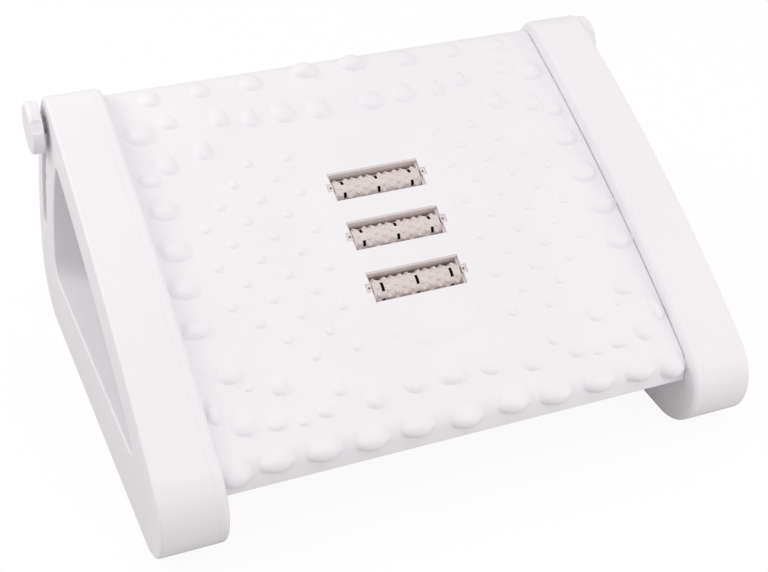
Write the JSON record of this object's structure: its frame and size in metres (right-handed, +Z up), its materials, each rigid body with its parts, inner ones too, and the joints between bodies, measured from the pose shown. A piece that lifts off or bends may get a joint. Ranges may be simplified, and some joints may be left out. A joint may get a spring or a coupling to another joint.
{
  "type": "tilting under desk footrest",
  "caption": "Footrest with hollow triangular side frames and a pebbled foot plate that tilts on a front axle, held by a rod with knobs in curved slots, with massage rollers set in it.",
  "frame": {"origin": "on the floor, below the middle of the footrest's outer box", "axes": "+X runs across the footrest to the right of someone who sits behind the lip, along its longest side; +Y runs from the low front lip to the raised back; +Z is up"},
  "size_m": [0.4652, 0.3522, 0.2111],
  "materials": {
    "white_plastic": "satin moulded",
    "beige_plastic": "satin moulded",
    "bush_plastic": "smooth bearing plastic",
    "grey_rubber": "moulded",
    "plated_steel": "zinc plated",
    "brass": "turned"
  },
  "bodies": {
    "frames": {"front_axle_rod": "plated_steel", "left_axle_nut": "plated_steel", "left_axle_washer": "plated_steel", "left_cover_screw_1": "plated_steel", "left_cover_screw_2": "plated_steel", "left_cover_screw_3": "plated_steel", "left_cover_screw_4": "plated_steel", "left_foot_pad_1": "grey_rubber", "left_foot_pad_2": "grey_rubber", "left_inner_cover": "white_plastic", "left_side_frame": "white_plastic", "right_axle_nut": "plated_steel", "right_axle_washer": "plated_steel", "right_cover_screw_1": "plated_steel", "right_cover_screw_2": "plated_steel", "right_cover_screw_3": "plated_steel", "right_cover_screw_4": "plated_steel", "right_foot_pad_1": "grey_rubber", "right_foot_pad_2": "grey_rubber", "right_inner_cover": "white_plastic", "right_side_frame": "white_plastic"},
    "tilting_plate": {"axle_bush_1": "bush_plastic", "axle_bush_2": "bush_plastic", "axle_bush_3": "bush_plastic", "axle_bush_4": "bush_plastic", "cradle_screw_1": "plated_steel", "cradle_screw_2": "plated_steel", "cradle_screw_3": "plated_steel", "cradle_screw_4": "plated_steel", "cradle_screw_5": "plated_steel", "cradle_screw_6": "plated_steel", "foot_plate": "white_plastic", "left_slot_bush": "bush_plastic", "rear_rod": "plated_steel", "right_slot_bush": "bush_plastic", "roller_cradle_1": "beige_plastic", "roller_cradle_2": "beige_plastic", "roller_cradle_3": "beige_plastic", "roller_shaft_1": "plated_steel", "roller_shaft_2": "plated_steel", "roller_shaft_3": "plated_steel"},
    "roller_1": {"massage_roller_1": "beige_plastic"},
    "roller_2": {"massage_roller_2": "beige_plastic"},
    "roller_3": {"massage_roller_3": "beige_plastic"},
    "left_knob": {"left_knob": "white_plastic", "left_knob_nut": "brass"},
    "right_knob": {"right_knob": "white_plastic", "right_knob_nut": "brass"}
  },
  "joints": [
    {"name": "plate_tilt", "type": "hinge", "parent": "frames", "child": "tilting_plate", "pos_m": [0, -0.14016, 0.0512], "axis": [1, 0, 0], "range_deg": [-20, 0]},
    {"name": "roller_1_spin", "type": "hinge", "parent": "tilting_plate", "child": "roller_1", "pos_m": [0, -0.06166, 0.11141], "axis": [1, 0, 0], "continuous": true},
    {"name": "roller_2_spin", "type": "hinge", "parent": "tilting_plate", "child": "roller_2", "pos_m": [0, -0.02356, 0.13104], "axis": [1, 0, 0], "continuous": true},
    {"name": "roller_3_spin", "type": "hinge", "parent": "tilting_plate", "child": "roller_3", "pos_m": [0, 0.01508, 0.14961], "axis": [1, 0, 0], "continuous": true},
    {"name": "left_knob_turn", "type": "hinge", "parent": "tilting_plate", "child": "left_knob", "pos_m": [0, 0.1201, 0.18649], "axis": [1, 0, 0], "range_deg": [-360, 0]},
    {"name": "right_knob_turn", "type": "hinge", "parent": "tilting_plate", "child": "right_knob", "pos_m": [0, 0.1201, 0.18649], "axis": [1, 0, 0], "range_deg": [0, 360]}
  ]
}
